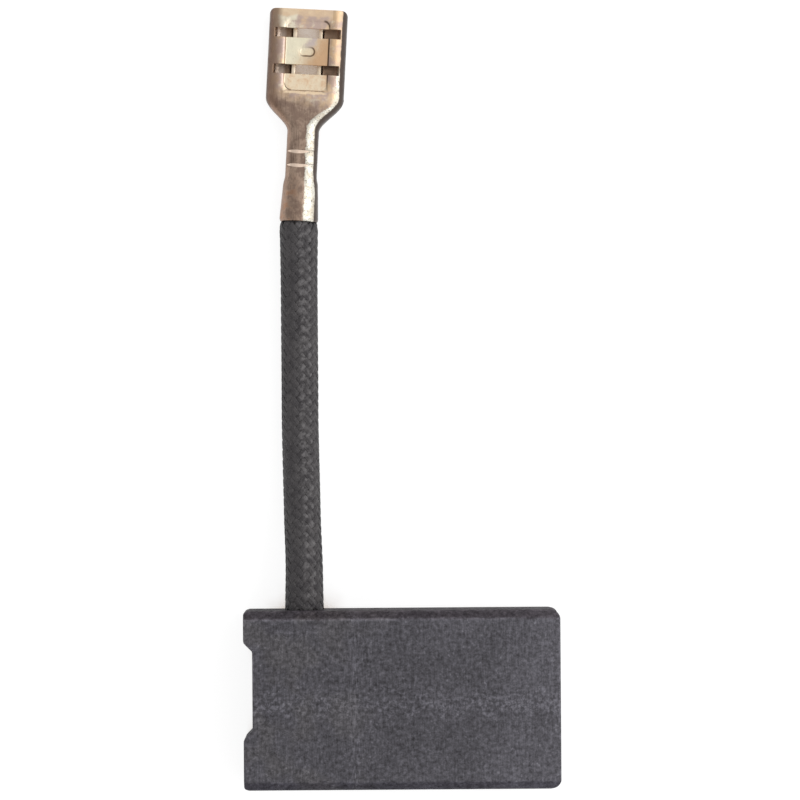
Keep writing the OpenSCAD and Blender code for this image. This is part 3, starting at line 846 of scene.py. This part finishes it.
terminal_points, terminal_places, terminal_faces = [], [], []
for patch, slots in ((body_patch, slots_from), (shoulder_patch, ()), (wire_patch, ()), (throat_patch, ()),
                     (grip_patch, ())):
    rows, columns = patch.shape[:2]
    middle_column = (columns - 1) // 2
    first = len(terminal_points)
    terminal_points += patch.reshape(-1, 3).tolist()
    widths = np.linalg.norm(np.diff(patch, axis=1), axis=2)
    strip_u = np.concatenate([np.zeros((rows, 1)), np.cumsum(widths, axis=1)], 1)
    strip_u -= strip_u[:, [middle_column]]
    terminal_places += np.stack([strip_u, patch[:, :, 1], patch[:, :, 2]], 2).reshape(-1, 3).tolist()
    for i in range(rows - 1):
        for j in range(columns - 1):
            centre_y = (patch[i, j, 1] + patch[i + 1, j, 1]) / 2
            at_slot = any(a < centre_y < a + slot_l for a in slots)
            if not (at_slot and abs(j + 0.5 - middle_column) < slot_columns):
                a = first + i * columns + j
                terminal_faces.append((a, a + 1, a + columns + 1, a + columns))
turned = [term_pos + term_turn @ Vector((x, y, z + axis_drop)) for x, y, z in terminal_points]

# The finish is laid out on the flat strip: millimetres across it from the middle of the back, and
# along it from the sleeve end
tinned_brass, tree, output = new_material("tinned_brass")
place = node(tree, "ShaderNodeTexCoord").outputs["Object"]
across, along = split(attribute(tree, "strip_place", "Vector"))[:2]
wander = noise(place, 1.1, 4, roughness=0.65)
blotch = noise(place, 0.75, 4, roughness=0.65)
patchy = noise(place, 1.9)
fine = noise(place, 0.16)
drawn = noise(place, 0.17, stretch=(1, 12, 1))
off = scaled(wander, 1.2, -0.6)
jag = scaled(blotch, 0.9, -0.45)
out_by = maths("ABSOLUTE", across)
right_half = between(across, -0.5, 0.5)
narrowing = between(along, 12.6, 9.4)
gripping = between(along, 5.2, 2.6)


def edge_at(body, neck, grip):
    """A distance from the middle of the back that follows the strip down to the sleeve crimp."""
    return scaled(gripping, grip - neck, scaled(narrowing, neck - body, body))


def past_edge(distance, start, end):
    """A smooth step where the distance passes from one edge to another."""
    return between(maths("DIVIDE", minus(distance, start), minus(end, start)), 0.0, 1.0)


def near_line(value, line, half):
    """1 on a line and 0 beyond the given half width, softly."""
    return between(apart(value, line), half, half * 0.35)


def from_corner(x, y):
    """The distance from a corner, by how far off it lies each way."""
    return maths("SQRT", plus(times(x, x), times(y, y)))


# Tarnish: cream on the back, tan and lilac patches, brown down the neck and the crimps
tone = blend_colour(between(patchy, 0.42, 0.58), (238, 207, 172), (208, 184, 172))
tone = blend_colour(between(blotch, 0.52, 0.66, 0.0, 0.7), tone, (240, 228, 204))
pale = times(between(scaled(off, 0.7, across), -0.9, -1.4), between(along, 19.3, 19.5),
             between(blotch, 0.40, 0.50, 0.3, 0.9))
tone = blend_colour(pale, tone, (246, 236, 212))
warm_lip = between(scaled(off, 0.5, along), 20.55, 20.85, 0.0, 0.75)
tone = blend_colour(warm_lip, tone, (242, 212, 176))
neck = between(scaled(across, 0.3, plus(along, off)), 13.2, 11.0)
neck_tone = blend_colour(between(wander, 0.40, 0.62), (146, 124, 110), (182, 158, 140))
tone = blend_colour(neck, tone, neck_tone)

# The pressed panel, and the strap between the slots that it runs into
panel_tone = blend_colour(between(scaled(across, 0.03, blotch), 0.40, 0.66), (253, 234, 204), (234, 202, 168))
slant = plus(scaled(along, -0.55, across), times(off, 1.6))
strap_tan = between(scaled(blotch, 2.0, slant), -9.7, -6.9)
strap_tone = blend_colour(strap_tan, (252, 243, 216), (218, 180, 142))
lilac = times(between(apart(slant, -9.5), 0.7, 0.15), between(along, 17.2, 17.9))
strap_tone = blend_colour(lilac, strap_tone, (214, 198, 190))
strap_tone = blend_colour(between(blotch, 0.40, 0.30, 0.0, 0.35), strap_tone, (190, 160, 132))
panel_tone = blend_colour(between(along, 15.2, 15.4), panel_tone, strap_tone)
ragged = scaled(jag, 0.25, along)
on_panel = times(between(out_by, 2.42, 2.28), between(ragged, 12.95, 13.08), between(along, 18.8, 18.5))
tone = blend_colour(on_panel, tone, panel_tone)
# A painted highlight just below the panel's lower wall, and painted shade along the wall
painted_rim_highlight = times(near_line(ragged, 12.86, 0.14), between(out_by, 2.3, 1.9))
tone = blend_colour(painted_rim_highlight, tone, (252, 226, 192))
rim_shade = times(near_line(ragged, 13.03, 0.09), between(out_by, 2.2, 1.7), 0.75)
tone = blend_colour(rim_shade, tone, (150, 122, 94))

# Painted shade in the panel's walls, deepest in the right wall, which faces away from the light,
# and round two of its corners
painted_fold_shade = times(near_line(out_by, 2.33, 0.15), near_line(along, 16.65, 4.4), scaled(right_half, 0.1, 0.9))
tone = blend_colour(painted_fold_shade, tone, blend_colour(right_half, (138, 112, 90), (84, 64, 50)))
for corner_x, corner_y, soft_edge in ((-1.45, 13.85, -0.15), (1.62, 19.62, 0.15)):
    from_x, from_y = minus(across, corner_x), minus(along, corner_y)
    quarter = times(between(from_x, -soft_edge, soft_edge), between(from_y, -soft_edge, soft_edge))
    painted_corner_shade = times(near_line(from_corner(from_x, from_y), panel_corner_r, 0.12), quarter, 0.85)
    tone = blend_colour(painted_corner_shade, tone, (96, 74, 58))
# Painted shade dims the flank right of the panel, more towards the roll
painted_flank_shade = times(between(across, 2.40, 2.55), between(along, 12.8, 14.6))
flank_shade_tone = blend_colour(between(across, 2.9, 3.2), (228, 224, 218), (214, 214, 216))
tone = blend_colour(painted_flank_shade, tone, flank_shade_tone, "MULTIPLY")

# The dimple's outline: painted shade round its wall, deepest on the lower right, and a painted
# highlight just inside it
past_oval = maths("MAXIMUM", minus(out_by, (dimple_l - dimple_w) / 2), 0.0)
from_oval = minus(from_corner(past_oval, minus(along, dimple_y)), dimple_w / 2)
shaded = between(plus(minus(across, along), dimple_y), -0.5, 0.4, 0.15, 0.85)
tone = blend_colour(times(near_line(from_oval, 0.05, 0.1), shaded), tone, (92, 70, 52))
tone = blend_colour(between(from_oval, -0.02, -0.1, 0.0, 0.6), tone, (252, 238, 208))

# Painted shade down the left of the roll, the neck and the crimps; streaks drawn along the
# neck; and the warm left side of the sleeve crimp, partly painted shade
painted_left_shade = past_edge(minus(times(off, 0.6), across), edge_at(2.45, 1.0, 1.2), edge_at(3.2, 1.7, 2.2))
tone = blend_colour(times(painted_left_shade, between(out_by, 3.7, 3.2, 1.0, 0.8)), tone,
                    blend_colour(between(out_by, 3.2, 3.9), (150, 122, 104), (112, 92, 80)))
streaks = times(neck, between(drawn, 0.48, 0.34, 0.0, 0.38))
tone = blend_colour(streaks, tone, (96, 78, 68))
# Warm brown patches on the left of the sleeve crimp, partly painted shade
warm = times(gripping, between(wander, 0.48, 0.62), between(across, 0.2, -0.8), 0.7)
tone = blend_colour(warm, tone, (158, 118, 92))

# A bright band along the right flank, partly rubbed tin and partly painted highlight, with dark
# pits in it, and painted shade down the outer side past it
flank = scaled(jag, 0.8, across)
rubbed_tin_and_highlight = times(past_edge(flank, edge_at(3.06, 0.30, 0.32), edge_at(3.18, 0.42, 0.46)),
               between(along, 15.9, 14.4))
tone = blend_colour(rubbed_tin_and_highlight, tone, blend_colour(between(blotch, 0.42, 0.60), (229, 226, 214), (212, 203, 186)))
pits = times(rubbed_tin_and_highlight, between(fine, 0.55, 0.62), 0.7)
tone = blend_colour(pits, tone, (112, 104, 96))
painted_side_shade = past_edge(scaled(jag, 0.22, across), edge_at(3.38, 1.08, 1.50), edge_at(3.48, 1.22, 1.64))
tone = blend_colour(painted_side_shade, tone, (86, 76, 70))

# The two grooves across the wire crimp each get a painted highlight, with painted shade along
# its upper edge
for groove_y in serrations_y:
    gap = minus(along, scaled(across, -0.03, groove_y - 0.17))
    from_centre = plus(across, 0.4)
    lens_half = scaled(times(from_centre, from_centre), -0.16, 0.2)
    lens = between(minus(maths("ABSOLUTE", gap), lens_half), 0.03, -0.03)
    tone = blend_colour(lens, tone, (250, 226, 206))
    painted_groove_shade = times(near_line(gap, 0.2, 0.09), between(apart(across, 0.55), 1.0, 0.6, 0.0, 0.9))
    tone = blend_colour(painted_groove_shade, tone, (84, 70, 62))

# The flags and the inside of the rolls are brown, partly tarnish and partly painted shade, with
# painted light where the left slot ends show the roll, and a painted highlight on the flags' tips
painted_slot_end_light = times(between(across, -6.75, -6.35), minus(1.0, right_half))
flag_tone = blend_colour(painted_slot_end_light, (150, 126, 106), (196, 178, 164))
tone = blend_colour(between(out_by, 5.2, 5.8), tone, flag_tone)
tone = blend_colour(between(out_by, 7.9, 8.1), tone, (246, 228, 204))
cover(output, {"Base Color": tone, "Roughness": between(blotch, 0.35, 0.7, 0.30, 0.48), "Metallic": 1.0},
      height=scaled(fine, 0.6, blotch), strength=0.5, depth=0.00005)

brass_strip = mesh_object("crimped_terminal", turned, terminal_faces, tinned_brass)
strip_place = brass_strip.data.attributes.new("strip_place", "FLOAT_VECTOR", "POINT")
strip_place.data.foreach_set("vector", np.array(terminal_places).ravel())
cleaner = bmesh.new()
cleaner.from_mesh(brass_strip.data)
bmesh.ops.remove_doubles(cleaner, verts=cleaner.verts, dist=0.00002)
bmesh.ops.recalc_face_normals(cleaner, faces=cleaner.faces)
cleaner.to_mesh(brass_strip.data)
cleaner.free()
thick = brass_strip.modifiers.new("sheet", "SOLIDIFY")
thick.thickness, thick.offset = sheet / 1000, 0
thick.use_even_offset, thick.use_quality_normals = True, True
soft = brass_strip.modifiers.new("stamped_edges", "BEVEL")
soft.width, soft.segments = stamped_edge / 1000, 2
soft.limit_method, soft.angle_limit = "ANGLE", math.radians(55)
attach(brass_strip, "root")
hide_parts("terminal")


# ---- Floor and light ----
# The brush lies on a wide pale table in a pale room, lit by the room and by one large soft lamp
# off its right side. Light that comes straight to the eye or off metal finds the table white.
lamp_spot, lamp_aim, lamp_w, lamp_power = Vector((0.52, 0.08, 0.42)), Vector((0, 0.03, 0)), 0.6, 1.2
floor_half = 3000
floor_material, tree, output = new_material("pale_floor")
lit = node(tree, "ShaderNodeBsdfDiffuse", {"Color": (0.8, 0.8, 0.8, 1)})
seen = node(tree, "ShaderNodeBsdfDiffuse", {"Color": (0.30, 0.30, 0.30, 1)})
# Where the brush closes the table in, an occlusion node paints beige shade on it
crevice = node(tree, "ShaderNodeAmbientOcclusion", {"Distance": 0.004}, samples=8).outputs["AO"]
painted_crevice_shade = ramp(crevice, [(0.33, (0.34, 0.222, 0.13)), (0.39, (1, 1, 1))])
glow = node(tree, "ShaderNodeEmission", {"Color": painted_crevice_shade, "Strength": 0.84})
seen_floor = node(tree, "ShaderNodeAddShader", {0: seen.outputs[0], 1: glow.outputs[0]})
ray = node(tree, "ShaderNodeLightPath").outputs
direct = maths("MAXIMUM", ray["Is Camera Ray"], ray["Is Glossy Ray"])
direct = maths("MAXIMUM", direct, ray["Is Transmission Ray"])
pick = node(tree, "ShaderNodeMixShader", {0: direct, 1: lit.outputs[0], 2: seen_floor.outputs[0]})
tree.links.new(pick.outputs[0], output.inputs["Surface"])
floor_corners = [(x * floor_half, y * floor_half, 0) for x, y in ((-1, -1), (1, -1), (1, 1), (-1, 1))]
table_top = mesh_object("table_top", floor_corners, [(0, 1, 2, 3)], floor_material)

world = bpy.data.worlds.new("studio")
bpy.context.scene.world = world
world.use_nodes = True
tree = world.node_tree
tree.nodes.clear()
toward_x = split(node(tree, "ShaderNodeTexCoord").outputs["Generated"])[0]
room = ramp(scaled(toward_x, 0.5, 0.5), [(0.0, 0.50), (0.46, 0.66), (0.60, 0.80), (0.67, 1.0)])
sky = node(tree, "ShaderNodeBackground", {"Color": room, "Strength": 1.06})
backdrop = node(tree, "ShaderNodeBackground", {"Color": (1, 1, 1, 1), "Strength": 1.0})
ray = node(tree, "ShaderNodeLightPath").outputs
pick = node(tree, "ShaderNodeMixShader", {0: ray["Is Camera Ray"], 1: sky.outputs[0], 2: backdrop.outputs[0]})
tree.links.new(pick.outputs[0], node(tree, "ShaderNodeOutputWorld").inputs["Surface"])

lamp = bpy.data.lights.new("key_lamp", "AREA")
lamp.shape, lamp.size, lamp.energy = "SQUARE", lamp_w, lamp_power
key_lamp = bpy.data.objects.new("key_lamp", lamp)
key_lamp.location = lamp_spot
key_lamp.rotation_euler = (lamp_aim - lamp_spot).to_track_quat("-Z", "Y").to_euler()
bpy.context.scene.collection.objects.link(key_lamp)

bpy.context.scene.view_settings.view_transform = "Standard"
